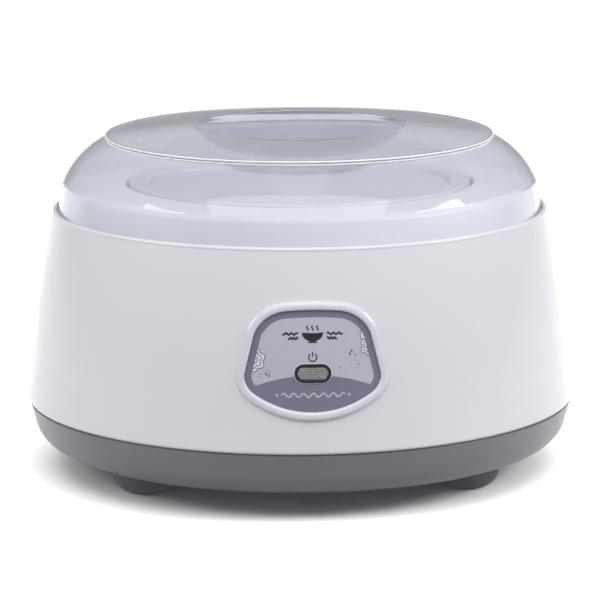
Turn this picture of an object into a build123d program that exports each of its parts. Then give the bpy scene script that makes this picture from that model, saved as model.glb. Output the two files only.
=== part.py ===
from build123d import *
import os
from math import cos, radians, sin, sqrt

# Round electric yogurt maker. A heated base unit holds a lift-out container with its
# own lid, and a clear outer cover closes the top.
# Frame: the origin is the centre of the circle that the feet stand on, +Z is up and
# the control panel faces -Y. Lengths are millimetres.

# Heights of the main levels
PAN_FLOOR_Z = 4.6
SEAM_Z = 25.2
LEDGE_Z = 93.3
DECK_Z = 104.0
COVER_FOOT_Z = 93.6
CREASE_Z = 104.7
PLATEAU_Z = 120.1
APEX_Z = 125.4

# Radii of the main outlines
SEAM_R = 100.1
RIM_R = 89.9
COVER_FOOT_R = 88.0
CREASE_R = 86.3
PLATEAU_R = 70.2
DISC_R = 70.7
GRIP_R = 38.0
WELL_MOUTH_R = 63.0

# The cover's shoulder is an arc that passes through this point
SHOULDER_MIDDLE = (79.4, 114.0)

# Wall thicknesses
HOUSING_WALL = 2.5
LINER_WALL = 2.2
COVER_WALL = 1.8

# The tapering outer wall of the housing is one shallow arc through three points
WALL_FOOT = (SEAM_R, SEAM_Z + 1.4)
WALL_MIDDLE = (96.4, 58.0)
WALL_TOP = (RIM_R, 93.5)

# Control panel: a rounded shield, wider than it is high
PANEL_TOP_Z = 77.2
PANEL_BOTTOM_Z = 36.9
PANEL_WIDEST_Z = 52.5
PANEL_HALF_WIDTH = 26.2
BEZEL_WIDTH = 3.0
BEZEL_HEIGHT = 1.3
LENS_Z = 53.0
LENS_LENGTH = 10.7
LENS_HEIGHT = 4.5
LENS_FRAME = 0.9

# Grip in the cover: a bar across a round recess
BAR_WIDTH = 8.0
BAR_DRAFT = 1.0
POCKET_FLOOR_Z = 111.4
RECESS_RIM_R = 0.8

# Feet and fixings
FOOT_R = 11.6
FOOT_PAD_R = 4.4
FOOT_TOP_Z = 10.2
FOOT_PLACES = [(57.2, 46.5), (-57.2, 46.5), (-57.2, -46.5), (57.2, -46.5)]
POST_CIRCLE_R = 66.5
POST_ANGLES = (20, 160, 270)
POST_R = 4.0
POST_FOOT_Z = 10.0
POST_TOP_Z = 45.0

# Heater
WELL_FLOOR_Z = 19.5
WELL_FLOOR_UNDER_Z = 16.5
PLATE_FLANGE_R = 54.0
PLATE_R = 46.4
PLATE_FLANGE_Z = 15.0
PLATE_TOP_Z = 19.3
PLATE_SCREW_R = 50.4
PLATE_SCREW_ANGLES = (30, 150, 270)
CLAMP_SCREW_X = 30.5

# Container and its lid
CONTAINER_WALL = 1.6
CONTAINER_FOOT_Z = 20.0
CONTAINER_FOOT_R = 57.2
CONTAINER_TOP_R = 59.9
CONTAINER_LIP_R = 62.2
CONTAINER_SEAT_Z = 97.9
CONTAINER_NECK_R = 59.4
CONTAINER_NECK_Z = 101.9
LID_R = 62.0
LID_STEP_R = 54.5
LID_TOP_Z = 104.8

# Cord inlet
INLET_Z = 18.0
INLET_BORE_R = 2.7
INLET_SLEEVE_R = 4.0
INLET_FLANGE_R = 5.3
INLET_INNER_Y = 91.5
INLET_OUTER_Y = 95.8

LEAD_R = 0.9


def section(start, *steps):
    """Closed section from start: a point is a straight run, a pair of points an arc."""
    edges = []
    here = start
    for step in steps:
        if isinstance(step[0], tuple):
            edges.append(ThreePointArc(here, step[0], step[1]))
            here = step[1]
        else:
            edges.append(Line(here, step))
            here = step
    if here != start:
        edges.append(Line(here, start))
    return make_face(edges)


def turned(start, *steps):
    """Revolve a section of (radius, height) points about the Z axis."""
    return revolve(Plane.XZ * section(start, *steps), Axis.Z)


def rod(radius, low, high, x=0.0, y=0.0):
    """Upright cylinder between two heights."""
    return Pos(x, y, low) * extrude(Circle(radius), high - low)


def block(x_span, y_span, z_span):
    """Box between three pairs of limits."""
    width = x_span[1] - x_span[0]
    depth = y_span[1] - y_span[0]
    height = z_span[1] - z_span[0]
    return Pos(x_span[0], y_span[0], z_span[0]) * Box(
        width, depth, height, align=(Align.MIN, Align.MIN, Align.MIN)
    )


def around(radius, angles):
    """Places on a circle about the Z axis, as (x, y) pairs."""
    return [(radius * cos(radians(a)), radius * sin(radians(a))) for a in angles]


def facing_front(outline):
    """Prism of an outline drawn as (x, z), from the Z axis out through the front."""
    return extrude(Plane.XZ * outline, 1.2 * SEAM_R)


def wall_band(inner, outer):
    """Ring between two offsets of the housing's outer wall."""
    low, middle, high = [
        [(r + offset, z) for offset in (inner, outer)]
        for r, z in (WALL_FOOT, WALL_MIDDLE, WALL_TOP)
    ]
    return turned(low[0], low[1], (middle[1], high[1]), high[0], (middle[0], low[0]))


def panel_outline(inset=0.0):
    """Shield outline of the panel, drawn as (x, z) and moved in by an inset."""
    half = PANEL_HALF_WIDTH
    right_shoulder = ((18.0, PANEL_TOP_Z - 4.0), (22.6, PANEL_TOP_Z - 10.2))
    outline = section(
        (-10.0, PANEL_TOP_Z - 0.5),
        ((0.0, PANEL_TOP_Z), (10.0, PANEL_TOP_Z - 0.5)),
        right_shoulder,
        (half, PANEL_WIDEST_Z),
        ((half - 1.1, PANEL_WIDEST_Z - 5.0), (20.8, PANEL_BOTTOM_Z + 6.1)),
        ((0.0, PANEL_BOTTOM_Z), (-20.8, PANEL_BOTTOM_Z + 6.1)),
        ((1.1 - half, PANEL_WIDEST_Z - 5.0), (-half, PANEL_WIDEST_Z)),
        (-22.6, PANEL_TOP_Z - 10.2),
        ((-18.0, PANEL_TOP_Z - 4.0), (-10.0, PANEL_TOP_Z - 0.5)),
    )
    if inset == 0:
        return outline
    return offset(outline, amount=-inset, kind=Kind.INTERSECTION)


def pill(length, height):
    """Pill outline at the lens, drawn as (x, z)."""
    return Pos(0, LENS_Z) * SlotOverall(length, height)


def lead(points, radii, radius=LEAD_R):
    """Insulated wire of straight runs joined by tangent arcs."""
    path = FilletPolyline(*points, radius=radii)
    return sweep(Plane(origin=path @ 0, z_dir=path % 0) * Circle(radius), path=path)


def pan_head_screw(head_r, head_low, head_high, shank_r, shank_high):
    """Screw standing point up: a domed head with a cross recess, and its shank."""
    dome = head_r * 0.4
    head = turned(
        (0, head_low),
        (head_r - dome, head_low),
        ((head_r - 0.3 * dome, head_low + 0.3 * dome), (head_r, head_low + dome)),
        (head_r, head_high),
        (0, head_high),
    )
    recess = Box(head_r, 0.5, 1.6) + Box(0.5, head_r, 1.6)
    shank = rod(shank_r, head_high, shank_high - shank_r)
    point = Pos(0, 0, shank_high - shank_r) * Cone(
        shank_r, 0.2, shank_r, align=(Align.CENTER, Align.CENTER, Align.MIN)
    )
    return head - Pos(0, 0, head_low) * recess + shank + point


# Base unit: outer shell


def make_housing():
    """White outer shell with its rounded rim, inner shelf and panel opening."""
    wall = HOUSING_WALL
    shelf = LEDGE_Z - 2.0
    shell = turned(
        (97.4, SEAM_Z),
        (SEAM_R - 0.9, SEAM_Z),
        ((SEAM_R - 0.25, SEAM_Z + 0.35), WALL_FOOT),
        (WALL_MIDDLE, WALL_TOP),
        ((RIM_R - 0.75, WALL_TOP[1] + 1.3), (RIM_R - 1.5, WALL_TOP[1])),
        (RIM_R - 1.5, shelf),
        (RIM_R - 4.6, shelf),
        (RIM_R - 4.6, shelf - 2.2),
        (RIM_R - 2.1, shelf - 2.2),
        ((WALL_MIDDLE[0] - wall, WALL_MIDDLE[1]), (97.4, SEAM_Z + 3.6)),
    )
    return shell - facing_front(panel_outline(1.3))


def make_well_liner():
    """White collar, deck and well in one piece, with posts for the base screws."""
    wall = LINER_WALL
    mouth = WELL_MOUTH_R
    liner = turned(
        (PLATE_R + 0.5, WELL_FLOOR_UNDER_Z),
        (60.9, WELL_FLOOR_UNDER_Z),
        (63.1, 95.4),
        (mouth + wall, 95.4),
        (mouth + wall, DECK_Z - wall),
        (80.6, DECK_Z - wall),
        ((81.1, 101.3), (81.4, 100.3)),
        (82.6, LEDGE_Z - 2.0),
        (RIM_R - 1.6, LEDGE_Z - 2.0),
        (RIM_R - 1.6, LEDGE_Z),
        (85.8, LEDGE_Z),
        ((85.2, 93.55), (85.0, 94.2)),
        (83.7, 101.4),
        ((82.95, 103.2), (81.2, DECK_Z)),
        (mouth + 0.8, DECK_Z),
        ((mouth + 0.25, DECK_Z - 0.25), (mouth, DECK_Z - 0.8)),
        (mouth, CONTAINER_SEAT_Z - 0.3),
        (60.8, CONTAINER_SEAT_Z - 0.3),
        (58.7, WELL_FLOOR_Z),
        (PLATE_R + 0.5, WELL_FLOOR_Z),
    )
    holes = []
    for angle, (x, y) in zip(POST_ANGLES, around(POST_CIRCLE_R, POST_ANGLES)):
        liner += rod(POST_R, POST_FOOT_Z, POST_TOP_Z, x, y)
        rib = block((61.0, POST_CIRCLE_R), (-1.1, 1.1), (WELL_FLOOR_UNDER_Z, POST_TOP_Z))
        liner += Rot(0, 0, angle) * rib
        holes.append(rod(1.3, POST_FOOT_Z - 1, POST_FOOT_Z + 14, x, y))
    for x, y in around(PLATE_SCREW_R, PLATE_SCREW_ANGLES):
        holes.append(rod(1.2, WELL_FLOOR_UNDER_Z - 1, WELL_FLOOR_Z - 0.8, x, y))
    return liner - holes


def pan_envelope():
    """Everything inside the base pan's outer surface, up to its top edge."""
    return turned(
        (0, PAN_FLOOR_Z),
        (66.0, PAN_FLOOR_Z),
        (89.0, 9.2),
        ((94.9, 12.3), (97.7, 17.6)),
        (99.5, SEAM_Z - 0.7),
        (98.9, SEAM_Z),
        (0, SEAM_Z),
    )


def along_inlet(radius, start, end):
    """Cylinder on the cord inlet's axis, between two distances from the middle."""
    circle = Plane(origin=(0, start, INLET_Z), z_dir=(0, 1, 0)) * Circle(radius)
    return extrude(circle, end - start)


def make_base_pan():
    """Grey dished pan with foot seats, screw bosses and the cord inlet hole."""
    envelope = pan_envelope()
    inside = turned(
        (0, PAN_FLOOR_Z + 2.5),
        (65.8, PAN_FLOOR_Z + 2.5),
        (88.2, 11.7),
        ((92.7, 14.1), (95.0, 18.4)),
        (95.6, SEAM_Z + 1),
        (0, SEAM_Z + 1),
    )
    pan = envelope - inside
    pan += turned((95.6, SEAM_Z - 1), (97.2, SEAM_Z - 1), (97.2, SEAM_Z + 3), (95.8, SEAM_Z + 3))
    for x, y in FOOT_PLACES:
        pan += envelope & rod(FOOT_R + 2.2, PAN_FLOOR_Z, FOOT_TOP_Z + 2.2, x, y)
        pan -= rod(FOOT_R + 0.15, 0, FOOT_TOP_Z, x, y)
        pan -= rod(2.6, 0, FOOT_TOP_Z + 3, x, y)
    for x, y in around(POST_CIRCLE_R, POST_ANGLES):
        pan += envelope & rod(POST_R + 1.6, PAN_FLOOR_Z, POST_FOOT_Z, x, y)
        pan -= rod(3.6, 0, PAN_FLOOR_Z + 2.6, x, y)
        pan -= rod(1.8, 0, POST_FOOT_Z + 1, x, y)
    pan += envelope & along_inlet(INLET_FLANGE_R + 0.9, INLET_INNER_Y, SEAM_R)
    pan -= along_inlet(INLET_SLEEVE_R, INLET_INNER_Y - 5, SEAM_R)
    pan -= along_inlet(INLET_FLANGE_R + 0.1, INLET_INNER_Y - 5, INLET_INNER_Y)
    return pan - along_inlet(INLET_FLANGE_R + 0.1, INLET_OUTER_Y, SEAM_R + 5)


def make_foot(x, y):
    """Domed foot with a flat pad, held in the pan by a barbed stem."""
    foot = turned(
        (0, 0),
        (FOOT_PAD_R, 0),
        ((9.4, 2.0), (FOOT_R, 6.2)),
        (FOOT_R, FOOT_TOP_Z),
        (2.5, FOOT_TOP_Z),
        (2.5, 12.5),
        (3.3, 12.7),
        ((3.0, 14.4), (1.6, 15.2)),
        (0, 15.2),
    )
    return Pos(x, y, 0) * foot


def make_base_screws():
    """Self-tapping screws that pull the pan up against the liner's posts."""
    screw = pan_head_screw(3.2, 4.8, PAN_FLOOR_Z + 2.6, 1.3, 21.0)
    return Compound([Pos(x, y, 0) * screw for x, y in around(POST_CIRCLE_R, POST_ANGLES)])


def make_cord_grommet():
    """Rubber bushing that lines the cord inlet in the rear of the pan."""
    mouth = INLET_OUTER_Y + 2.6
    profile = section(
        (INLET_BORE_R, INLET_INNER_Y - 1.6),
        (INLET_FLANGE_R, INLET_INNER_Y - 1.6),
        (INLET_FLANGE_R, INLET_INNER_Y),
        (INLET_SLEEVE_R, INLET_INNER_Y),
        (INLET_SLEEVE_R, INLET_OUTER_Y),
        (INLET_FLANGE_R, INLET_OUTER_Y),
        (INLET_FLANGE_R, mouth - 1.0),
        ((INLET_FLANGE_R - 0.3, mouth - 0.3), (INLET_FLANGE_R - 1.0, mouth)),
        (INLET_BORE_R, mouth),
    )
    return Pos(0, 0, INLET_Z) * revolve(profile, Axis.Y)


# Base unit: control panel


def make_panel_bezel():
    """Raised white ring around the label, with a neck that lines the opening."""
    outer = facing_front(panel_outline())
    hole = facing_front(panel_outline(BEZEL_WIDTH))
    neck = facing_front(panel_outline(1.4))
    ring = (outer & wall_band(0, BEZEL_HEIGHT)) - hole
    lining = (neck & wall_band(-HOUSING_WALL, 0)) - hole
    return ring + lining


def make_panel_plate():
    """Backing plate that carries the label, with a window for the lens."""
    plate = facing_front(panel_outline(BEZEL_WIDTH + 0.05)) & wall_band(-1.9, -0.2)
    return plate - facing_front(pill(LENS_LENGTH + 2 * LENS_FRAME, LENS_HEIGHT + 2 * LENS_FRAME))


def make_panel_label():
    """Thin printed label on the backing plate."""
    label = facing_front(panel_outline(BEZEL_WIDTH + 0.1)) & wall_band(-0.2, 0.1)
    return label - facing_front(pill(LENS_LENGTH + 2 * LENS_FRAME, LENS_HEIGHT + 2 * LENS_FRAME))


def make_window_frame():
    """Black pill-shaped frame around the lens."""
    outer = facing_front(pill(LENS_LENGTH + 2 * LENS_FRAME, LENS_HEIGHT + 2 * LENS_FRAME))
    hole = facing_front(pill(LENS_LENGTH, LENS_HEIGHT))
    return (outer & wall_band(-1.9, 0.45)) - hole


def make_lamp_lens():
    """Patterned lens of the power lamp."""
    return facing_front(pill(LENS_LENGTH, LENS_HEIGHT)) & wall_band(-1.9, 0.3)


def make_lamp_holder():
    """Block behind the panel with a bore for the lamp."""
    body = facing_front(Pos(0, LENS_Z) * RectangleRounded(20, 13, 2.5)) & wall_band(-15, -1.9)
    return body - facing_front(Pos(0, LENS_Z) * Circle(3.3))


def make_neon_lamp():
    """Small glass lamp with a rounded nose, lying in its holder."""
    bulb = Pos(0, -86, LENS_Z) * Rot(90, 0, 0) * Cylinder(3.1, 12)
    ends = bulb.edges().filter_by(GeomType.CIRCLE).sort_by(Axis.Y)
    return fillet(ends[0], 2.6)


# Base unit: heater


def make_heating_plate():
    """Aluminium plate whose raised middle closes the floor of the well."""
    plate = turned(
        (0, PLATE_FLANGE_Z),
        (PLATE_FLANGE_R, PLATE_FLANGE_Z),
        (PLATE_FLANGE_R, WELL_FLOOR_UNDER_Z),
        (PLATE_R, WELL_FLOOR_UNDER_Z),
        (PLATE_R, PLATE_TOP_Z - 0.8),
        ((PLATE_R - 0.25, PLATE_TOP_Z - 0.25), (PLATE_R - 0.8, PLATE_TOP_Z)),
        (0, PLATE_TOP_Z),
    )
    for x, y in around(PLATE_SCREW_R, PLATE_SCREW_ANGLES):
        plate -= rod(1.7, PLATE_FLANGE_Z - 1, WELL_FLOOR_Z, x, y)
    for x in (-CLAMP_SCREW_X, CLAMP_SCREW_X):
        plate -= rod(1.5, PLATE_FLANGE_Z - 1, PLATE_TOP_Z - 1.0, x, 0)
    return plate


def make_plate_screws():
    """Screws that hold the heating plate under the well's floor."""
    screw = pan_head_screw(2.8, 13.2, PLATE_FLANGE_Z, 1.2, WELL_FLOOR_Z - 1.0)
    return Compound([Pos(x, y, 0) * screw for x, y in around(PLATE_SCREW_R, PLATE_SCREW_ANGLES)])


TAB_Y = 8.5
TAB_END_X = 23.0
TAB_Z = 12.9


def make_ptc_heater():
    """Flat ceramic heating element with two tab terminals."""
    body = block((-17, 17), (-11, 11), (11.4, PLATE_FLANGE_Z))
    body = fillet(body.edges().filter_by(Axis.Z), 1.5)
    for y in (-TAB_Y, TAB_Y):
        body += block((17, TAB_END_X), (y - 1.6, y + 1.6), (TAB_Z - 0.3, TAB_Z + 0.3))
    return body


def make_heater_insulator():
    """Mica sheet between the element and its clamp."""
    return block((-18, 18), (-9, 9), (11.0, 11.4))


def make_heater_clamp():
    """Spring-steel strap that presses the element against the plate."""
    web_z = 10.2
    strap = block((-26, 26), (-6, 6), (web_z, 11.0))
    for side in (-1, 1):
        leg = sorted((side * 25.2, side * 26.0))
        lug = sorted((side * 25.2, side * 35.5))
        strap += block(leg, (-6, 6), (web_z, PLATE_FLANGE_Z))
        strap += block(lug, (-6, 6), (PLATE_FLANGE_Z - 0.8, PLATE_FLANGE_Z))
        strap -= rod(1.7, PLATE_FLANGE_Z - 2, PLATE_FLANGE_Z + 1, side * CLAMP_SCREW_X, 0)
    return strap


def make_clamp_screws():
    """Screws that hold the strap to the plate."""
    screw = pan_head_screw(2.8, 12.4, PLATE_FLANGE_Z - 0.8, 1.4, PLATE_TOP_Z - 1.2)
    return Compound([Pos(x, 0, 0) * screw for x in (-CLAMP_SCREW_X, CLAMP_SCREW_X)])


FUSE_Y = 24.0
FUSE_Z = 12.8
FUSE_R = 2.0


def make_thermal_fuse():
    """Thermal cut-off lying against the plate, with a stub lead at each end."""
    body = Pos(0, FUSE_Y, FUSE_Z) * Rot(0, 90, 0) * Cylinder(FUSE_R, 11)
    stubs = Pos(0, FUSE_Y, FUSE_Z) * Rot(0, 90, 0) * Cylinder(0.6, 17)
    return body + stubs


def make_fuse_clip():
    """Bent strap that holds the thermal cut-off against the plate."""
    inside = FUSE_R + 0.05
    clip = Pos(0, FUSE_Y, FUSE_Z) * Rot(0, 90, 0) * Cylinder(inside + 0.6, 6)
    clip += block((-3, 3), (FUSE_Y - 8, FUSE_Y + 8), (PLATE_FLANGE_Z - 0.7, PLATE_FLANGE_Z))
    clip -= Pos(0, FUSE_Y, FUSE_Z) * Rot(0, 90, 0) * Cylinder(inside, 8)
    return clip - block((-4, 4), (FUSE_Y - 9, FUSE_Y + 9), (PLATE_FLANGE_Z, PLATE_FLANGE_Z + 3))


# Base unit: wiring

TERMINAL_X = (-13.0, 13.0)
TERMINAL_Y = (49.0, 63.0)
TERMINAL_Z = (PAN_FLOOR_Z + 2.5, 14.2)
POLE_X = 6.5
POLE_Y = 55.0
LEAD_GAP = 0.05


def make_terminal_block():
    """Two-pole screw terminal that joins the supply to the inner leads."""
    body = block(TERMINAL_X, TERMINAL_Y, TERMINAL_Z)
    for x in (-POLE_X, POLE_X):
        body -= rod(2.6, 9.0, TERMINAL_Z[1] + 1, x, POLE_Y)
    return body


def make_terminal_screws():
    """Slotted clamping screws of the terminal block."""
    top = TERMINAL_Z[1] - 1.0
    screw = rod(2.5, 9.0, top) - Pos(0, 0, top) * Box(6, 0.7, 1.6)
    return Compound([Pos(x, POLE_Y, 0) * screw for x in (-POLE_X, POLE_X)])


def make_live_lead():
    """Lead from the terminal block to the thermal cut-off."""
    points = [
        (POLE_X, TERMINAL_Y[0] - LEAD_GAP, 11.0),
        (POLE_X, 41.0, 11.0),
        (18.0, 35.0, 11.5),
        (20.0, FUSE_Y, FUSE_Z),
        (8.5 + LEAD_GAP, FUSE_Y, FUSE_Z),
    ]
    return lead(points, [4.0, 5.0, 4.0])


def make_link_lead():
    """Lead from the thermal cut-off to one tab of the element."""
    points = [
        (-8.5 - LEAD_GAP, FUSE_Y, FUSE_Z),
        (-22.0, FUSE_Y, FUSE_Z),
        (-39.0, 14.0, 9.8),
        (-39.0, -16.0, 9.6),
        (-14.0, -26.0, 10.0),
        (18.0, -25.0, 11.0),
        (36.0, -19.0, 12.0),
        (35.0, -TAB_Y, TAB_Z),
        (TAB_END_X + LEAD_GAP, -TAB_Y, TAB_Z),
    ]
    return lead(points, [8.0, 10.0, 10.0, 12.0, 10.0, 4.0, 4.0])


def make_neutral_lead():
    """Lead from the other tab of the element to the terminal block."""
    points = [
        (TAB_END_X + LEAD_GAP, TAB_Y, TAB_Z),
        (36.0, TAB_Y, TAB_Z),
        (41.0, 24.0, 10.5),
        (31.0, 39.0, 9.0),
        (8.0, 42.5, 8.2),
        (-POLE_X, 40.0, 9.4),
        (-POLE_X, TERMINAL_Y[0] - 6 * LEAD_GAP, 10.6),
    ]
    return lead(points, [6.0, 8.0, 8.0, 9.0, 4.0])


def make_lamp_lead(side):
    """Lead from the terminal block round one side of the well to the lamp."""
    points = [
        (side * 8.5, TERMINAL_Y[1] + 4 * LEAD_GAP, 10.5),
        (side * 8.5, 72.0, 12.0),
        (side * 28.0, 80.0, 17.0),
        (side * 62.0, 60.0, 21.0),
        (side * 83.0, 21.0, 24.0),
        (side * 82.0, -24.0, 28.0),
        (side * 58.0, -61.0, 34.0),
        (side * 22.0, -76.0, 46.0),
        (side * 1.4, -74.0, LENS_Z),
        (side * 1.4, -80.0 + LEAD_GAP, LENS_Z),
    ]
    return lead(points, [4.0, 9.0, 18.0, 20.0, 20.0, 18.0, 12.0, 2.4], radius=0.8)


# Parts that lift out


def make_inner_container():
    """Tall translucent cup that hangs in the well by a flange."""
    wall = CONTAINER_WALL
    foot = CONTAINER_FOOT_R
    low = CONTAINER_FOOT_Z
    return turned(
        (0, low + 0.6),
        (foot - 9.0, low + 0.6),
        (foot - 8.0, low),
        (foot - 5.5, low),
        ((foot - 1.6, low + 1.6), (foot, low + 5.5)),
        (CONTAINER_TOP_R, CONTAINER_SEAT_Z),
        (CONTAINER_LIP_R, CONTAINER_SEAT_Z),
        (CONTAINER_LIP_R, CONTAINER_SEAT_Z + 1.4),
        (CONTAINER_NECK_R, CONTAINER_SEAT_Z + 1.4),
        (CONTAINER_NECK_R, CONTAINER_NECK_Z - 0.5),
        (
            (CONTAINER_NECK_R - 0.75, CONTAINER_NECK_Z),
            (CONTAINER_NECK_R - wall + 0.1, CONTAINER_NECK_Z - 0.5),
        ),
        (CONTAINER_NECK_R - wall, CONTAINER_SEAT_Z - 2),
        (foot - wall, low + 6.2),
        ((foot - wall - 1.4, low + 3.2), (foot - wall - 4.6, low + 2.0)),
        (0, low + 2.0),
    )


def make_container_lid():
    """Push-on lid with a raised border and a shallow dished middle."""
    return turned(
        (0, LID_TOP_Z - 3.0),
        (LID_STEP_R - 1.4, LID_TOP_Z - 3.0),
        (LID_STEP_R - 0.6, LID_TOP_Z - 1.5),
        (CONTAINER_NECK_R + 0.4, LID_TOP_Z - 1.5),
        (CONTAINER_NECK_R + 0.4, CONTAINER_SEAT_Z + 1.8),
        (LID_R, CONTAINER_SEAT_Z + 1.8),
        (LID_R, LID_TOP_Z - 1.0),
        ((LID_R - 0.3, LID_TOP_Z - 0.3), (LID_R - 1.0, LID_TOP_Z)),
        (LID_STEP_R + 1.0, LID_TOP_Z),
        (LID_STEP_R - 0.2, LID_TOP_Z - 1.5),
        (0, LID_TOP_Z - 1.5),
    )


def make_lid_seal():
    """Silicone ring in the lid that closes on the container's neck."""
    high = LID_TOP_Z - 1.5
    return turned((57.6, high - 1.0), (59.6, high - 1.0), (59.6, high), (57.6, high))


def cover_outside():
    """Everything under the cover's outer surface."""
    dome_foot = (DISC_R - 1.3, PLATEAU_Z + 1.4)
    rise = APEX_Z - dome_foot[1]
    dome_r = (dome_foot[0] ** 2 + rise ** 2) / (2 * rise)
    half_r = dome_foot[0] / 2
    dome_middle = (half_r, APEX_Z - dome_r + sqrt(dome_r ** 2 - half_r ** 2))
    return turned(
        (0, COVER_FOOT_Z),
        (COVER_FOOT_R, COVER_FOOT_Z),
        (CREASE_R, CREASE_Z),
        (SHOULDER_MIDDLE, (PLATEAU_R, PLATEAU_Z)),
        (DISC_R, PLATEAU_Z + 0.3),
        (DISC_R, PLATEAU_Z + 0.6),
        ((DISC_R - 0.4, PLATEAU_Z + 1.1), dome_foot),
        (dome_middle, (0, APEX_Z)),
    )


def cover_inside():
    """The room under the cover, before the grip hangs into it."""
    wall = COVER_WALL
    return turned(
        (0, COVER_FOOT_Z - 1),
        (COVER_FOOT_R - wall + 0.15, COVER_FOOT_Z - 1),
        (CREASE_R - wall, CREASE_Z - 0.5),
        ((SHOULDER_MIDDLE[0] - 1.3, SHOULDER_MIDDLE[1] - 1.3), (PLATEAU_R - 1.1, PLATEAU_Z - 1.5)),
        ((34.0, APEX_Z - wall - 1.0), (0, APEX_Z - wall)),
    )


def grip_bowl(extra):
    """Bowl of the round recess, grown by extra on every side."""
    rim = GRIP_R + extra
    floor = POCKET_FLOOR_Z - extra
    return turned(
        (0, floor),
        (22.0, floor),
        ((31.0 + extra, POCKET_FLOOR_Z + 3.2), (34.6 + extra, POCKET_FLOOR_Z + 8.2)),
        (rim + 3.4, APEX_Z + 3.4),
        (0, APEX_Z + 4.0),
    )


def grip_bar(inset):
    """Bar across the recess, with sides that lean out towards the floor."""
    top = BAR_WIDTH / 2 - inset
    foot = top + BAR_DRAFT
    low = POCKET_FLOOR_Z - 3.0
    bar = section((-top, APEX_Z + 5), (top, APEX_Z + 5), (foot, low), (-foot, low))
    return extrude(Plane.YZ * bar, GRIP_R + 6, both=True)


def circle_edge(solid, radius, z):
    """The round edge of that radius at that height."""
    rings = solid.edges().filter_by(GeomType.CIRCLE)
    return [ring for ring in rings if abs(ring.radius - radius) < 0.1 and abs(ring.arc_center.Z - z) < 0.1]


def recess_rims(cover):
    """The edges where the grip's two pockets meet the cover's top."""
    pocket_top_z = APEX_Z - 1.8
    inner = [edge for edge in cover.edges() if edge.bounding_box().max.X < GRIP_R + 2]
    return [edge for edge in inner if edge.bounding_box().min.Z > pocket_top_z and edge.length > GRIP_R]


def make_outer_cover():
    """Clear cover: skirt, shoulder and low dome, with a bar grip sunk in its middle."""
    outside = cover_outside()
    outside = fillet(circle_edge(outside, CREASE_R, CREASE_Z), 1.0)
    outside = fillet(circle_edge(outside, COVER_FOOT_R, COVER_FOOT_Z), 0.4)
    inside = cover_inside()
    inside = fillet(circle_edge(inside, CREASE_R - COVER_WALL, CREASE_Z - 0.5), 2.0)
    pocket = grip_bowl(0) - grip_bar(0)
    pocket_shell = grip_bowl(COVER_WALL) - grip_bar(COVER_WALL)
    cover = outside - (inside - pocket_shell) - pocket
    return fillet(recess_rims(cover), RECESS_RIM_R)


def make_rating_plate():
    """Blank rating plate under the base."""
    return Pos(0, 0, PAN_FLOOR_Z - 0.4) * extrude(RectangleRounded(46, 26, 2), 0.4)


def build_all():
    """Every node of the assembly by name."""
    nodes = {
        "outer_housing": make_housing(),
        "well_liner": make_well_liner(),
        "base_pan": make_base_pan(),
        "base_screws": make_base_screws(),
        "cord_grommet": make_cord_grommet(),
        "rating_plate": make_rating_plate(),
        "panel_bezel": make_panel_bezel(),
        "panel_plate": make_panel_plate(),
        "panel_label": make_panel_label(),
        "lamp_window_frame": make_window_frame(),
        "lamp_lens": make_lamp_lens(),
        "lamp_holder": make_lamp_holder(),
        "neon_lamp": make_neon_lamp(),
        "heating_plate": make_heating_plate(),
        "plate_screws": make_plate_screws(),
        "ptc_heater": make_ptc_heater(),
        "heater_insulator": make_heater_insulator(),
        "heater_clamp": make_heater_clamp(),
        "clamp_screws": make_clamp_screws(),
        "thermal_fuse": make_thermal_fuse(),
        "fuse_clip": make_fuse_clip(),
        "terminal_block": make_terminal_block(),
        "terminal_screws": make_terminal_screws(),
        "live_lead": make_live_lead(),
        "link_lead": make_link_lead(),
        "neutral_lead": make_neutral_lead(),
        "lamp_lead_left": make_lamp_lead(-1),
        "lamp_lead_right": make_lamp_lead(1),
        "inner_container": make_inner_container(),
        "container_lid": make_container_lid(),
        "lid_seal": make_lid_seal(),
        "outer_cover": make_outer_cover(),
    }
    foot_names = ("foot_rear_right", "foot_rear_left", "foot_front_left", "foot_front_right")
    for name, (x, y) in zip(foot_names, FOOT_PLACES):
        nodes[name] = make_foot(x, y)
    return nodes


os.makedirs("parts", exist_ok=True)
for node, shape in build_all().items():
    export_step(shape, f"parts/{node}.step")
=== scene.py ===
"""Looks of the yogurt maker: materials, printed panel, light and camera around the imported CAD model."""

import math
import random

import bmesh
import bpy
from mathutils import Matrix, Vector
from mathutils.bvhtree import BVHTree
from mathutils.geometry import delaunay_2d_cdt


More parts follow.
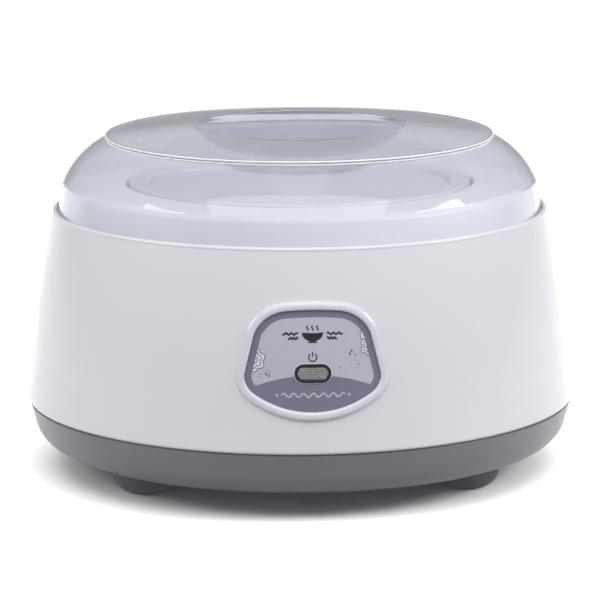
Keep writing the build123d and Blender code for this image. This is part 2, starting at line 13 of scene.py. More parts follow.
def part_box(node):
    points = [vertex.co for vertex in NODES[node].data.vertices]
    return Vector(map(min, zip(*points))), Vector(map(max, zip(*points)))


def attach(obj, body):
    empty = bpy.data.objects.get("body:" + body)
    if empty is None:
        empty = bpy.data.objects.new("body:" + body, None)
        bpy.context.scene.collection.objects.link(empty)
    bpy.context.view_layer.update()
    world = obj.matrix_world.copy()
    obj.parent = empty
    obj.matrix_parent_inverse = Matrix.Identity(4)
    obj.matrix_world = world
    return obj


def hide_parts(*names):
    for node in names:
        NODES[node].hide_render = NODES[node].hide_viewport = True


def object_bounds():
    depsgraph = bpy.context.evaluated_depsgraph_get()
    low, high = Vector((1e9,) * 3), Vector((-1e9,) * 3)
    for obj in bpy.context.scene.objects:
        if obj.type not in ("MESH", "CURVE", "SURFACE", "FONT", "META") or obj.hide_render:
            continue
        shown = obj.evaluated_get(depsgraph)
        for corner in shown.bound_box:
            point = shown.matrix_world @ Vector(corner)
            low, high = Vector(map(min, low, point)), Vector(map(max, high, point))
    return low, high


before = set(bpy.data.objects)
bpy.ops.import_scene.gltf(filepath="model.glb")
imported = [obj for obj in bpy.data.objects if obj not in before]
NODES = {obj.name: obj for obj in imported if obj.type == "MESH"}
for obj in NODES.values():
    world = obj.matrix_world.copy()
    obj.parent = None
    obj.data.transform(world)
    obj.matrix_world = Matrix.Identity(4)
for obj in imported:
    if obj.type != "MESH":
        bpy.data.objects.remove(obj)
CAD_LOW, CAD_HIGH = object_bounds()
SCENE = bpy.context.scene
MM = 0.001

# ---------------------------------------------------------------- sizes taken from the frame
LABEL_LOW, LABEL_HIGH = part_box("panel_label")
BEZEL_LOW, BEZEL_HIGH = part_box("panel_bezel")
LENS_LOW, LENS_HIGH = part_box("lamp_lens")
WINDOW_LOW, WINDOW_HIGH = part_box("lamp_window_frame")
HOUSING_LOW, HOUSING_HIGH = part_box("outer_housing")
LENS_Z = (LENS_LOW.z + LENS_HIGH.z) / 2
PANEL_MIDDLE_Z = (BEZEL_LOW.z + BEZEL_HIGH.z) / 2
IN_FRONT = CAD_LOW.y - 0.2
OPENING_Y = (BEZEL_LOW.y - 30 * MM, BEZEL_HIGH.y + 40 * MM)
SHARP_ANGLE = math.radians(32)
BEAD_DEPTHS = (4.35 * MM, 5.35 * MM)

# ---------------------------------------------------------------- small helpers
def srgb(red, green, blue):
    """Linear colour of an sRGB colour given in 0 to 255."""
    def linear(value):
        value /= 255
        return value / 12.92 if value <= 0.04045 else ((value + 0.055) / 1.055) ** 2.4
    return linear(red), linear(green), linear(blue), 1.0


def turns(count, start=0.0):
    """Angles of that many even steps round a circle."""
    return [start + 2 * math.pi * k / count for k in range(count)]


def finished_mesh(name, shape):
    """Mesh of a bmesh, which is freed."""
    mesh = bpy.data.meshes.new(name)
    shape.to_mesh(mesh)
    shape.free()
    return mesh


def add_mesh(name, mesh, body, material):
    """New piece of the object with its body and its material."""
    piece = bpy.data.objects.new(name, mesh)
    SCENE.collection.objects.link(piece)
    piece.data.materials.append(material)
    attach(piece, body)
    return piece


# ---------------------------------------------------------------- materials
class Finish:
    """One node material: a Principled shader and what varies over its surface, in object space."""

    def __init__(self, name, colour, roughness, **sockets):
        self.material = bpy.data.materials.new(name)
        self.material.use_nodes = True
        self.tree = self.material.node_tree
        self.shader = self.tree.nodes["Principled BSDF"]
        self.colour = colour
        self.roughness = roughness
        self.shader.inputs["Base Color"].default_value = colour
        self.shader.inputs["Roughness"].default_value = roughness
        for socket, value in sockets.items():
            self.shader.inputs[socket.replace("_", " ")].default_value = value
        self.place = self.node("ShaderNodeTexCoord").outputs["Object"]
        self.normal = None

    def node(self, kind, **settings):
        made = self.tree.nodes.new(kind)
        for key, value in settings.items():
            setattr(made, key, value)
        return made

    def link(self, source, target):
        self.tree.links.new(source, target)

    def scaled(self, stretch):
        """Object coordinates stretched along each axis."""
        mapping = self.node("ShaderNodeMapping")
        mapping.inputs["Scale"].default_value = stretch
        self.link(self.place, mapping.inputs["Vector"])
        return mapping.outputs["Vector"]

    def noise(self, size, detail=3.0, stretch=(1, 1, 1)):
        """Noise with features of about that size in metres, from 0 to 1."""
        made = self.node("ShaderNodeTexNoise")
        made.inputs["Scale"].default_value = 1 / size
        made.inputs["Detail"].default_value = detail
        self.link(self.scaled(stretch), made.inputs["Vector"])
        return made.outputs["Fac"]

    def ranged(self, value, low, high, start=0.2, end=0.8):
        """Value spread from start to end over low to high."""
        made = self.node("ShaderNodeMapRange", interpolation_type="SMOOTHSTEP")
        made.inputs["From Min"].default_value = start
        made.inputs["From Max"].default_value = end
        made.inputs["To Min"].default_value = low
        made.inputs["To Max"].default_value = high
        self.link(value, made.inputs["Value"])
        return made.outputs["Result"]

    def vary_roughness(self, size, spread, detail=4.0, stretch=(1, 1, 1)):
        low, high = self.roughness - spread, self.roughness + spread
        self.link(self.ranged(self.noise(size, detail, stretch), low, high), self.shader.inputs["Roughness"])
        return self

    def vary_colour(self, size, other, share=1.0, detail=4.0, stretch=(1, 1, 1)):
        """Base colour that drifts towards another colour."""
        mix = self.node("ShaderNodeMix", data_type="RGBA")
        mix.inputs["A"].default_value = self.colour
        mix.inputs["B"].default_value = other
        amount = self.ranged(self.noise(size, detail, stretch), 0.0, share, 0.25, 0.85)
        self.link(amount, mix.inputs["Factor"])
        self.link(mix.outputs["Result"], self.shader.inputs["Base Color"])
        return self

    def bump(self, value, height, strength=1.0):
        """Adds relief of that height in metres under what is there already."""
        made = self.node("ShaderNodeBump")
        made.inputs["Strength"].default_value = strength
        made.inputs["Distance"].default_value = height
        self.link(value, made.inputs["Height"])
        if self.normal:
            self.link(self.normal, made.inputs["Normal"])
        self.normal = made.outputs["Normal"]
        self.link(self.normal, self.shader.inputs["Normal"])
        return self

    def grain(self, size, height, detail=3.0, stretch=(1, 1, 1)):
        return self.bump(self.noise(size, detail, stretch), height)


def glossy_white(name, colour, roughness, grain_height=0.0008):
    """Polished moulded plastic: faint flow waviness, hazy patches and a very fine grain."""
    finish = Finish(name, colour, roughness, Specular_IOR_Level=0.5)
    finish.vary_roughness(16 * MM, 0.025)
    finish.grain(34 * MM, 0.03 * MM, detail=0.0)
    finish.grain(0.35 * MM, grain_height * MM)
    return finish


def satin_plastic(name, colour, roughness, grain_height=0.0015):
    """Spark-eroded moulded plastic with a fine even grain."""
    finish = Finish(name, colour, roughness)
    finish.vary_roughness(14 * MM, 0.03, detail=2.0)
    finish.grain(0.4 * MM, grain_height * MM, detail=1.0)
    return finish


def tinted(colour, factor):
    return tuple(channel * factor for channel in colour[:3]) + (1.0,)


def metal(name, colour, roughness, stretch=(1, 1, 1)):
    """Bare metal with a brushed or tumbled surface."""
    finish = Finish(name, colour, roughness, Metallic=1.0)
    finish.vary_roughness(1.2 * MM, 0.08, stretch=stretch)
    finish.grain(0.3 * MM, 0.004 * MM, stretch=stretch)
    finish.vary_colour(6 * MM, tinted(colour, 0.8))
    return finish


def wire(name, colour):
    finish = Finish(name, colour, 0.38)
    finish.vary_roughness(3 * MM, 0.06)
    finish.vary_colour(5 * MM, tinted(colour, 0.85))
    finish.grain(0.5 * MM, 0.006 * MM)
    return finish


def clear_plastic(name, tint, roughness, ior):
    """Clear moulded plastic or glass with faint flow waviness."""
    finish = Finish(name, tint, roughness, IOR=ior, Transmission_Weight=1.0)
    finish.vary_roughness(15 * MM, roughness * 0.4)
    finish.grain(18 * MM, 0.01 * MM, detail=0.0)
    return finish


def milky_plastic(name, tint, haze, roughness):
    """Slightly hazy see-through plastic with a soft gloss."""
    finish = Finish(name, tint, roughness, IOR=1.4, Transmission_Weight=1.0 - haze)
    finish.vary_roughness(20 * MM, roughness * 0.25)
    finish.grain(24 * MM, 0.004 * MM, detail=0.0)
    return finish


def ink(name, colour, roughness=0.3):
    """Printing ink with a faint sparkle of specks in it."""
    finish = Finish(name, colour, roughness)
    finish.vary_roughness(6 * MM, 0.03)
    finish.vary_colour(0.35 * MM, tinted(colour, 0.86), share=0.7, detail=1.0)
    finish.grain(0.2 * MM, 0.0008 * MM)
    return finish


def make_finishes():
    """Every material by the record slot it stands for."""
    finishes = {
        "housing_white": glossy_white("housing_white", srgb(212, 211, 216), 0.24),
        "liner_white": glossy_white("liner_white", srgb(228, 227, 226), 0.32, 0.0002),
        "panel_white": glossy_white("panel_white", srgb(206, 203, 212), 0.2),
        "holder_white": satin_plastic("holder_white", srgb(226, 226, 224), 0.4),
        "terminal_white": satin_plastic("terminal_white", srgb(228, 226, 218), 0.4),
        # the container lid's grey is painted shade: it is the same white plastic as the container, darkened
        # for the shade of the cover, which casts no shadow
        "container_lid_white": satin_plastic("container_lid_white", srgb(196, 196, 203), 0.32, 0.0008),
        "container_white": satin_plastic("container_white", srgb(222, 222, 230), 0.34, 0.0008),
        "base_grey": satin_plastic("base_grey", srgb(101, 100, 109), 0.34, 0.0006),
        "foot_grey": satin_plastic("foot_grey", srgb(92, 92, 98), 0.62, 0.003),
        "grommet_grey": satin_plastic("grommet_grey", srgb(112, 112, 120), 0.6, 0.003),
        "panel_plate": satin_plastic("panel_plate", srgb(120, 112, 130), 0.4),
        "seal_silicone": satin_plastic("seal_silicone", srgb(222, 224, 226), 0.5),
        "label_print": ink("label_print", srgb(116, 110, 130)),
        "frame_black": satin_plastic("frame_black", srgb(16, 16, 18), 0.25, 0.0008),
        "heater_case": metal("heater_case", srgb(196, 196, 198), 0.42),
        "plate_aluminium": metal("plate_aluminium", srgb(206, 207, 210), 0.34, (1, 14, 1)),
        "spring_steel": metal("spring_steel", srgb(176, 178, 182), 0.3),
        "screw_steel": metal("screw_steel", srgb(190, 190, 192), 0.3),
        "fuse_metal": metal("fuse_metal", srgb(186, 186, 188), 0.26),
        "terminal_brass": metal("terminal_brass", srgb(214, 180, 104), 0.3),
        "rating_foil": metal("rating_foil", srgb(200, 202, 206), 0.45, (1, 20, 1)),
        "insulator_mica": satin_plastic("insulator_mica", srgb(176, 152, 110), 0.4),
        "lead_brown": wire("lead_brown", srgb(104, 66, 40)),
        "lead_blue": wire("lead_blue", srgb(46, 92, 168)),
        "lead_white": wire("lead_white", srgb(224, 222, 214)),
        "cover_clear": milky_plastic("cover_clear", srgb(213, 215, 222), 0.12, 0.06),
        # painted highlight: the cover's beads are clear plastic, and this near-white milky finish paints the
        # bright lines they show
        "bead_painted_highlight": milky_plastic("bead_painted_highlight", srgb(250, 250, 252), 0.9, 0.12),
        "lens_clear": milky_plastic("lens_clear", srgb(120, 119, 116), 0.5, 0.2),
        "lens_prism": milky_plastic("lens_prism", srgb(222, 221, 212), 0.5, 0.15),
        "lamp_glass": clear_plastic("lamp_glass", srgb(250, 246, 240), 0.03, 1.5),
    }
    return {slot: finish.material for slot, finish in finishes.items()}


FINISHES = make_finishes()


def dress_cad_nodes():
    """Puts the finish of each record slot into the CAD nodes' own slots."""
    for node in NODES.values():
        for place in node.material_slots:
            place.material = FINISHES[place.material.name.split(".")[0]]


# ---------------------------------------------------------------- front panel
class Surface:
    """Where a line along the Y axis meets the front of a CAD node."""

    def __init__(self, node):
        self.tree = BVHTree.FromObject(NODES[node], bpy.context.evaluated_depsgraph_get())

    def y(self, x, z):
        """The front's y at that place, or None beside the node."""
        hit = self.tree.ray_cast(Vector((x, IN_FRONT, z)), Vector((0, 1, 0)))[0]
        return None if hit is None else hit.y

    def outline(self, middle_z, reach, count):
        """Points (x, z) of the node's outer edge, seen along Y, by halving along rays."""
        points = []
        for turn in turns(count):
            near = far = reach
            while self.y(near * math.cos(turn), middle_z + near * math.sin(turn)) is None:
                near, far = near - 1 * MM, near
            for _ in range(24):
                radius = (near + far) / 2
                hit = self.y(radius * math.cos(turn), middle_z + radius * math.sin(turn))
                near, far = (near, radius) if hit is None else (radius, far)
            points.append(Vector((near * math.cos(turn), middle_z + near * math.sin(turn))))
        return points


def moved_in(outline, distance):
    """The outline offset inwards by that distance."""
    count = len(outline)
    result = []
    for k, point in enumerate(outline):
        along = outline[(k + 1) % count] - outline[k - 1]
        inward = Vector((-along.y, along.x)).normalized()
        result.append(point + inward * distance)
    return result


def smoothed(outline, rounds):
    """The outline with each point pulled to the middle of its neighbours."""
    for _ in range(rounds):
        count = len(outline)
        outline = [(outline[k - 1] + outline[k] * 2 + outline[(k + 1) % count]) / 4 for k in range(count)]
    return outline


def inside(outline, point):
    """Whether a point (x, z) lies inside a closed outline."""
    x, z = point
    found = False
    for k, b in enumerate(outline):
        a = outline[k - 1]
        if (a.y > z) != (b.y > z) and x < (b.x - a.x) * (z - a.y) / (b.y - a.y) + a.x:
            found = not found
    return found


def disc(x, z, radius, count=20):
    return [Vector((x + radius * math.cos(t), z + radius * math.sin(t))) for t in turns(count)]


def pill_outline(z, half_length, half_height, count=14):
    """Outline of a pill lying along X, centred on x = 0."""
    points = []
    straight = half_length - half_height
    for side in (1, -1):
        for k in range(count + 1):
            turn = -math.pi / 2 + math.pi * k / count
            x = side * (straight + half_height * math.cos(turn))
            points.append(Vector((x, z + side * half_height * math.sin(turn))))
    return points


def stroke(points, width):
    """Outline of a line of that width drawn along the points."""
    left, right = [], []
    for k, point in enumerate(points):
        along = points[min(k + 1, len(points) - 1)] - points[max(k - 1, 0)]
        aside = Vector((-along.y, along.x)).normalized() * width / 2
        left.append(point + aside)
        right.append(point - aside)
    return right + left[::-1]


def rosette(x, z, radius, lobes, turn):
    """Scalloped flower outline."""
    points = []
    for angle in turns(lobes * 12):
        reach = radius * (0.78 + 0.22 * abs(math.cos(lobes * (angle - turn) / 2)))
        points.append(Vector((x + reach * math.cos(angle), z + reach * math.sin(angle))))
    return points


class Print:
    """Thin ink films laid over the label's curved front."""

    LAYER = 0.022 * MM
    CELL = 1.3 * MM

    def __init__(self):
        self.label = Surface("panel_label")
        self.edge = smoothed(self.label.outline(PANEL_MIDDLE_Z, 40 * MM, 240), 2)

    def grid(self, loops):
        """Even points between the outlines, so that the film can follow the curve."""
        xs = [p.x for loop in loops for p in loop]
        zs = [p.y for loop in loops for p in loop]
        columns = int((max(xs) - min(xs)) / self.CELL)
        rows = int((max(zs) - min(zs)) / self.CELL)
        return [
            Vector((min(xs) + (i + 0.5) * self.CELL, min(zs) + (j + 0.5) * self.CELL))
            for i in range(columns) for j in range(rows)
        ]

    def film(self, name, loops, keep, layer, material):
        """Film over the parts between the outlines that keep says yes to, on its layer above the label."""
        points, edges = [], []
        for loop in loops:
            first = len(points)
            points += loop
            edges += [(first + k, first + (k + 1) % len(loop)) for k in range(len(loop))]
        points += self.grid(loops)
        flat, _, faces, *_ = delaunay_2d_cdt(points, edges, [], 0, 1e-7)
        kept = [f for f in faces if keep(sum((flat[v] for v in f), Vector((0, 0))) / len(f))]
        shape = bmesh.new()
        skin = {}
        for face in kept:
            for v in face:
                y = self.label.y(flat[v].x, flat[v].y)
                if v not in skin and y is not None:
                    skin[v] = shape.verts.new((flat[v].x, y - layer * self.LAYER, flat[v].y))
        for face in kept:
            if all(v in skin for v in face):
                shape.faces.new([skin[v] for v in face])
        bmesh.ops.recalc_face_normals(shape, faces=shape.faces)
        if sum(face.normal.y for face in shape.faces) > 0:
            bmesh.ops.reverse_faces(shape, faces=shape.faces)
        solid = bmesh.ops.extrude_face_region(shape, geom=shape.faces[:])
        risen = [v for v in solid["geom"] if isinstance(v, bmesh.types.BMVert)]
        bmesh.ops.translate(shape, verts=risen, vec=(0, -self.LAYER, 0))
        bmesh.ops.recalc_face_normals(shape, faces=shape.faces)
        return add_mesh(name, finished_mesh(name, shape), "base_unit", material)


def make_panel_print():
    """Generic graphics: a light field over the label's dark ground, a bowl, waves, rosettes and dots."""
    printed = Print()
    border = 2.3 * MM
    field_edge = moved_in(printed.edge, border)
    arch_top, arch_drop, arch_half = LENS_Z - 0.6 * MM, 3.9 * MM, 20 * MM

    def arch(x):
        return arch_top - arch_drop * (x / arch_half) ** 2

    window_half = (WINDOW_HIGH.z - WINDOW_LOW.z) / 2
    window = pill_outline(LENS_Z, WINDOW_HIGH.x + 0.03 * MM, window_half + 0.03 * MM)
    field = [Vector((p.x, max(p.y, arch(p.x)))) for p in field_edge]

    def in_field(p):
        return inside(field, p) and not inside(window, p)

    light = ink("print_light", srgb(180, 178, 192)).material
    dark = ink("print_dark", srgb(104, 98, 120)).material
    black = ink("print_black", srgb(18, 18, 20)).material
    white = ink("print_white", srgb(214, 213, 222)).material
    printed.film("print_field", [field, window], in_field, 1, light)

    flowers = [(-20.2, 4.6, 4.4, 7, 0.3), (20.3, 13.6, 4.6, 7, 0.0), (19.6, 8.6, 3.6, 6, 0.5)]
    line = 0.3 * MM
    petals, lines = [], []
    for x, above_lens, radius, lobes, turn in flowers:
        z = LENS_Z + above_lens * MM
        for share in (1.0, 0.72, 0.42):
            outer = rosette(x * MM, z, radius * share * MM, lobes, turn)
            petals.append(outer)
            lines.append((outer, moved_in(outer, line)))
    printed.film("print_petals", [field] + petals[::3],
                 lambda p: in_field(p) and any(inside(o, p) for o in petals[::3]), 2, white)
    printed.film("print_petal_lines", [field] + [loop for pair in lines for loop in pair],
                 lambda p: in_field(p) and any(inside(o, p) and not inside(i, p) for o, i in lines),
                 3, dark)

    spray = random.Random(11)
    dots = []
    sprays = ((-15.5, -0.4, 3.4, 1.8, 8), (13.5, 4.0, 4.8, 3.4, 11))
    for centre_x, above_lens, wide, high, count in sprays:
        for _ in range(count):
            x = centre_x + spray.uniform(-wide, wide)
            z = LENS_Z + (above_lens + spray.uniform(-high, high)) * MM
            dots.append(disc(x * MM, z, spray.choice((0.16, 0.22, 0.3, 0.42)) * MM, 14))
    printed.film("print_dots", dots, lambda p: any(inside(d, p) for d in dots), 2, dark)

    hairline = pill_outline(LENS_Z, WINDOW_HIGH.x + 0.3 * MM, window_half + 0.3 * MM)
    printed.film("print_hairline", [hairline, window],
                 lambda p: inside(hairline, p) and not inside(window, p), 2, white)

    sign_z = WINDOW_HIGH.z + 2.3 * MM
    ring = stroke([Vector((math.sin(t), math.cos(t))) * 1.35 * MM + Vector((0, sign_z))
                   for t in [0.62 + (2 * math.pi - 1.24) * k / 28 for k in range(29)]], 0.42 * MM)
    bar = stroke([Vector((0, sign_z + 0.1 * MM)), Vector((0, sign_z + 1.7 * MM))], 0.42 * MM)
    printed.film("print_power_sign", [ring, bar], lambda p: inside(ring, p) or inside(bar, p),
                 2, black)

    bowl_z = LABEL_HIGH.z - 7.4 * MM
    bowl = [Vector((3.6 * math.cos(t), 3.0 * math.sin(t))) * MM + Vector((0, bowl_z))
            for t in [-math.pi * k / 24 for k in range(25)]]
    foot_z = bowl_z - 3.25 * MM
    foot = stroke([Vector((-1.5 * MM, foot_z)), Vector((1.5 * MM, foot_z))], 0.5 * MM)
    marks = [bowl, foot]
    for side in (-1, 1):
        for level, reach in ((0, 10.2), (-1.5, 8.2)):
            wave = [Vector((side * (4.9 + (reach - 4.9) * k / 24),
                            level + 0.32 * math.sin(k * 0.78) - 0.4)) * MM
                    + Vector((0, bowl_z)) for k in range(25)]
            marks.append(stroke(wave, 0.62 * MM))
    for step in (-1, 0, 1):
        swirl = [Vector((step * 1.7 + 0.3 * math.sin(k * 0.7), 0.7 + k * 0.16)) * MM + Vector((0, bowl_z))
                 for k in range(11)]
        marks.append(stroke(swirl, 0.42 * MM))
    printed.film("print_bowl_sign", marks, lambda p: any(inside(m, p) for m in marks),
                 2, black)

    wave_z = (LABEL_LOW.z + arch_top) / 2 - 0.5 * MM
    wave = [Vector((-10.8 + 21.6 * k / 96, 0.62 * math.sin(k * 0.42))) * MM + Vector((0, wave_z))
            for k in range(97)]
    ribbon = stroke(wave, 0.55 * MM)
    ends = [disc(side * 12.2 * MM, wave_z, 0.45 * MM) for side in (-1, 1)]
    printed.film("print_wave", [ribbon] + ends,
                 lambda p: inside(ribbon, p) or any(inside(e, p) for e in ends),
                 1, light)


def make_bezel():
    """Raised white ring round the label, along the CAD ring's own outline.

    The profile holds how far in from the outline and how far out from the wall, in mm."""
    side_x = BEZEL_HIGH.x + 6 * MM
    profile = [(0.0, -0.3), (0.0, 0.12)]
    profile += [(1.7 - 1.7 * math.cos(t), 0.2 + 1.1 * math.sin(t))
                for t in [math.pi * k / 26 for k in range(1, 15)]]
    profile += [(2.3, 1.2), (2.7, 1.0), (2.9, 0.72), (2.98, 0.4), (3.0, 0.1), (3.0, -2.2)]
    shape = bmesh.new()
    rings = []
    for inset, rise in profile:
        ring = []
        for point in moved_in(RING_EDGE, inset * MM):
            radius = math.hypot(side_x, WALL.y(side_x, point.y)) + rise * MM
            ring.append(shape.verts.new((point.x, -math.sqrt(radius ** 2 - point.x ** 2), point.y)))
        rings.append(ring)
    count = len(RING_EDGE)
    for outer, inner in zip(rings, rings[1:] + rings[:1]):
        for k in range(count):
            shape.faces.new((outer[k], outer[(k + 1) % count], inner[(k + 1) % count], inner[k]))
    bmesh.ops.recalc_face_normals(shape, faces=shape.faces)
    for face in shape.faces:
        face.smooth = True
    mesh = finished_mesh("panel_ring", shape)
    ring = add_mesh("panel_ring", mesh, "base_unit", FINISHES["panel_white"])
    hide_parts("panel_bezel")


def arc(start, middle, end, count):
    """Points after start along the circle arc through three points of a profile."""
    ax, ay = start
    bx, by = middle[0] - ax, middle[1] - ay
    cx, cy = end[0] - ax, end[1] - ay
    d = 2 * (bx * cy - by * cx)
    ux = (cy * (bx * bx + by * by) - by * (cx * cx + cy * cy)) / d
    uy = (bx * (cx * cx + cy * cy) - cx * (bx * bx + by * by)) / d
    first = math.atan2(-uy, -ux)
    last = math.atan2(cy - uy, cx - ux)
    if d > 0 and last < first:
        last += 2 * math.pi
    if d < 0 and last > first:
        last -= 2 * math.pi
    reach = math.hypot(ux, uy)
    steps = [first + (last - first) * k / count for k in range(1, count + 1)]
    return [(ax + ux + reach * math.cos(t), ay + uy + reach * math.sin(t)) for t in steps]


def make_housing_shell():
    """The housing again with an even mesh, so that its gloss runs smoothly over rim and seam.

    The profile holds the CAD's own radii, in mm, between the heights of the CAD's seam and rim."""
    seam, rim = HOUSING_LOW.z / MM, HOUSING_HIGH.z / MM - 1.3
    ledge, middle_z = rim - 0.2, seam + 32.8
    foot, middle, top = (100.1, seam + 1.4), (96.4, middle_z), (89.9, rim)
    profile = [(97.4, seam), (99.2, seam)]
    profile += arc(profile[-1], (99.85, seam + 0.35), foot, 8)
    profile += arc(foot, middle, top, 40)
    profile += arc(top, (89.15, top[1] + 1.3), (88.4, top[1]), 12)
    profile += [(88.4, ledge - 2.0), (85.3, ledge - 2.0), (85.3, ledge - 4.2), (87.8, ledge - 4.2)]
    profile += arc(profile[-1], (93.9, middle_z), (97.4, seam + 3.6), 16)
    shape = bmesh.new()
    rings = [
        [shape.verts.new((r * MM * math.cos(t), r * MM * math.sin(t), z * MM)) for r, z in profile]
        for t in turns(480)
    ]
    for a, b in zip(rings, rings[1:] + rings[:1]):
        for j in range(len(profile)):
            k = (j + 1) % len(profile)
            shape.faces.new((a[j], b[j], b[k], a[k])).smooth = True
    bmesh.ops.recalc_face_normals(shape, faces=shape.faces)
    blank = bpy.data.objects.new("housing_blank", finished_mesh("housing_blank", shape))

    outline = moved_in(RING_EDGE, 1.3 * MM)
    prism = bmesh.new()
    ends = [[prism.verts.new((p.x, y, p.y)) for p in outline] for y in OPENING_Y]
    for k in range(len(outline)):
        n = (k + 1) % len(outline)
        prism.faces.new((ends[0][k], ends[0][n], ends[1][n], ends[1][k]))
    prism.faces.new(ends[0])
    prism.faces.new(ends[1])
    bmesh.ops.recalc_face_normals(prism, faces=prism.faces)
    opening = bpy.data.objects.new("panel_opening", finished_mesh("panel_opening", prism))
    for piece in (blank, opening):
        SCENE.collection.objects.link(piece)
    cut = blank.modifiers.new("opening", "BOOLEAN")
    cut.object = opening
    cut.solver = "EXACT"
    bpy.context.view_layer.update()
    shell = bpy.data.meshes.new_from_object(blank.evaluated_get(bpy.context.evaluated_depsgraph_get()))
    for piece in (blank, opening):
        bpy.data.objects.remove(piece)
    shell.name = "housing_shell"
    shell.materials.clear()
    shell.set_sharp_from_angle(angle=SHARP_ANGLE)
    piece = add_mesh("housing_shell", shell, "base_unit", FINISHES["housing_white"])
    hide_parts("outer_housing")


def make_cover_beads():
    """Moulded beads along the edges of the cover's raised disc, made milky white: a painted highlight
    standing in for the bright lines that light draws on the clear beads.
    """
    cover = Surface("outer_cover")
    thick, sides = 0.27 * MM, 10
    shape = bmesh.new()
    for depth in BEAD_DEPTHS:
        middle_z = CAD_HIGH.z - depth
        radius = -cover.y(0.0, middle_z) - thick * 0.35
        rings = []
        for turn in turns(360):
            ring = []
            for lean in turns(sides):
                reach = radius + thick * math.cos(lean)
                z = middle_z + thick * math.sin(lean)
                ring.append(shape.verts.new((reach * math.cos(turn), reach * math.sin(turn), z)))
            rings.append(ring)
        for a, b in zip(rings, rings[1:] + rings[:1]):
            for j in range(sides):
                k = (j + 1) % sides
                shape.faces.new((a[j], b[j], b[k], a[k])).smooth = True
    bmesh.ops.recalc_face_normals(shape, faces=shape.faces)
    mesh = finished_mesh("cover_beads", shape)
    # the beads' milky white is a painted highlight; they cast no shadow
    beads = add_mesh("cover_beads", mesh, "outer_cover", FINISHES["bead_painted_highlight"])
    beads.visible_shadow = False


def make_lens_prisms():
    """Rows of tiny six-sided prisms moulded into the lamp lens."""
    lens = Surface("lamp_lens")
    half_length = LENS_HIGH.x - 0.3 * MM
    half_height = (LENS_HIGH.z - LENS_LOW.z) / 2 - 0.25 * MM
    edge = pill_outline(LENS_Z, half_length, half_height)
    pitch, rise = 0.62 * MM, 0.26 * MM
    row_pitch = pitch * 0.87
    rows = int(half_height / row_pitch)
    columns = int(half_length / pitch) + 1
    shape = bmesh.new()
    for row in range(-rows, rows + 1):
        z = LENS_Z + row * row_pitch
        for column in range(-columns, columns + 1):
            x = (column + 0.5 * (row % 2)) * pitch
            if not inside(edge, (x, z)):
                continue
            y = lens.y(x, z)
            foot, tip = [
                [shape.verts.new((x + reach * math.cos(t), level, z + reach * math.sin(t)))
                 for t in turns(6, math.pi / 6)]
                for reach, level in ((pitch * 0.47, y + 0.02 * MM), (pitch * 0.16, y - rise))
            ]
            for k in range(6):
                shape.faces.new((foot[k], foot[(k + 1) % 6], tip[(k + 1) % 6], tip[k]))
            shape.faces.new(tip)
            shape.faces.new(foot[::-1])
    bmesh.ops.recalc_face_normals(shape, faces=shape.faces)
    mesh = finished_mesh("lens_prisms", shape)
    add_mesh("lens_prisms", mesh, "base_unit", FINISHES["lens_prism"])


# ---------------------------------------------------------------- light, floor and camera
FLOOR_R = 6.0
ROOM_GREYS = ((0.35, 0.52), (0.7, 0.6))
ROOM_HORIZON = (0.46, 0.465, 0.495, 1)
ROOM_ZENITH = (0.66, 0.66, 0.68, 1)
ROOM_STRENGTH = 0.9
CAMERA_AZIMUTH = -2.5
CAMERA_AWAY = 1.143
CAMERA_HEIGHT = 0.2868
CAMERA_LENS = 190.3
CAMERA_ROLL = -0.3
AIM_HEIGHT = 0.059


def make_floor():
    """Seamless pale floor. Its bounce is left off the object, whose lower side it would wash out."""
    finish = Finish("studio_floor", (0.86, 0.86, 0.86, 1.0), 0.85, Specular_IOR_Level=0.2)
    finish.vary_roughness(60 * MM, 0.05)
    shape = bmesh.new()
    bmesh.ops.create_circle(shape, cap_ends=True, segments=96, radius=FLOOR_R)
    floor = bpy.data.objects.new("studio_floor", finished_mesh("studio_floor", shape))
    floor.data.materials.append(finish.material)
    SCENE.collection.objects.link(floor)
    floor.visible_diffuse = False


def make_world():
    """Soft studio room: greyer towards the horizon and bright overhead."""
    world = bpy.data.worlds.new("studio")
    world.use_nodes = True
    SCENE.world = world
    tree = world.node_tree
    place = tree.nodes.new("ShaderNodeTexCoord")
    parts = tree.nodes.new("ShaderNodeSeparateXYZ")
    ramp = tree.nodes.new("ShaderNodeValToRGB")
    steps = ramp.color_ramp.elements
    steps[0].position = 0.0
    steps[0].color = ROOM_HORIZON
    steps[1].position = 1.0
    steps[1].color = ROOM_ZENITH
    for height, grey in ROOM_GREYS:
        steps.new(height).color = (grey, grey, grey * 1.01, 1)
    tree.links.new(place.outputs["Generated"], parts.inputs["Vector"])
    tree.links.new(parts.outputs["Z"], ramp.inputs["Fac"])
    tree.links.new(ramp.outputs["Color"], tree.nodes["Background"].inputs["Color"])
    tree.nodes["Background"].inputs["Strength"].default_value = ROOM_STRENGTH


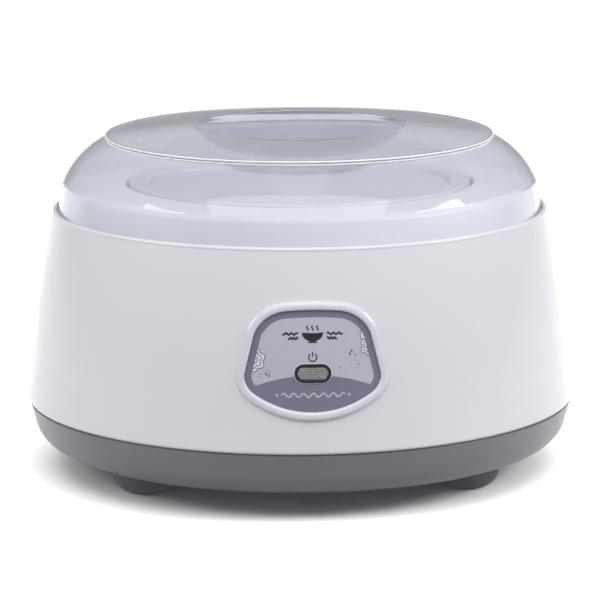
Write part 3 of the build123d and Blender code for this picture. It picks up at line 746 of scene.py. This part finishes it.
def add_softbox(name, azimuth, elevation, away, width, height, power, receiver=None):
    """Area light on a sphere round the object, aimed at its middle, for everything or one receiver."""
    aim = Vector((0, 0, (CAD_LOW.z + CAD_HIGH.z) / 2))
    a, e = math.radians(azimuth), math.radians(elevation)
    way = Vector((math.sin(a) * math.cos(e), -math.cos(a) * math.cos(e), math.sin(e)))
    light = bpy.data.lights.new(name, "AREA")
    light.shape = "RECTANGLE"
    light.size = width
    light.size_y = height
    light.energy = power
    lamp = bpy.data.objects.new(name, light)
    lamp.location = aim + way * away
    lamp.rotation_euler = (-way).to_track_quat("-Z", "Y").to_euler()
    SCENE.collection.objects.link(lamp)
    if receiver:
        lit = bpy.data.collections.new(name + "_receiver")
        lit.objects.link(receiver)
        lamp.light_linking.receiver_collection = lit


def make_lights():
    """Softboxes at both sides and in front, a small one overhead, a wide one for the floor alone."""
    add_softbox("light_left", -72, 28, 0.95, 0.45, 0.28, 2.4)
    add_softbox("light_right", 70, 28, 0.9, 0.45, 0.28, 3.4)
    add_softbox("light_front", -4, 50, 0.7, 0.9, 0.45, 2.8)
    add_softbox("light_top", 2, 90, 1.1, 0.26, 0.8, 0.45)
    add_softbox("light_floor", 180, 72, 2.4, 4.4, 4.4, 120, bpy.data.objects["studio_floor"])


def make_camera():
    """Camera a little left of the front, looking slightly down."""
    data = bpy.data.cameras.new("camera")
    data.lens = CAMERA_LENS
    data.sensor_width = 36
    data.clip_start = 0.05
    data.clip_end = 30
    camera = bpy.data.objects.new("camera", data)
    a = math.radians(CAMERA_AZIMUTH)
    camera.location = (math.sin(a) * CAMERA_AWAY, -math.cos(a) * CAMERA_AWAY, CAMERA_HEIGHT)
    aim = Vector((0, 0, AIM_HEIGHT)) - camera.location
    camera.rotation_euler = aim.to_track_quat("-Z", "Y").to_euler()
    camera.rotation_euler.rotate_axis("Z", math.radians(CAMERA_ROLL))
    SCENE.collection.objects.link(camera)
    SCENE.camera = camera


dress_cad_nodes()
WALL = Surface("outer_housing")
RING_EDGE = smoothed(Surface("panel_bezel").outline(PANEL_MIDDLE_Z, 40 * MM, 260), 3)
make_panel_print()
make_bezel()
make_housing_shell()
make_lens_prisms()
make_cover_beads()
# the cover casts no shadow; its shade on the container lid is painted into that lid's grey
NODES["outer_cover"].visible_shadow = False
make_floor()
make_world()
make_lights()
make_camera()
SCENE.view_settings.view_transform = "Standard"
SCENE.view_settings.look = "None"
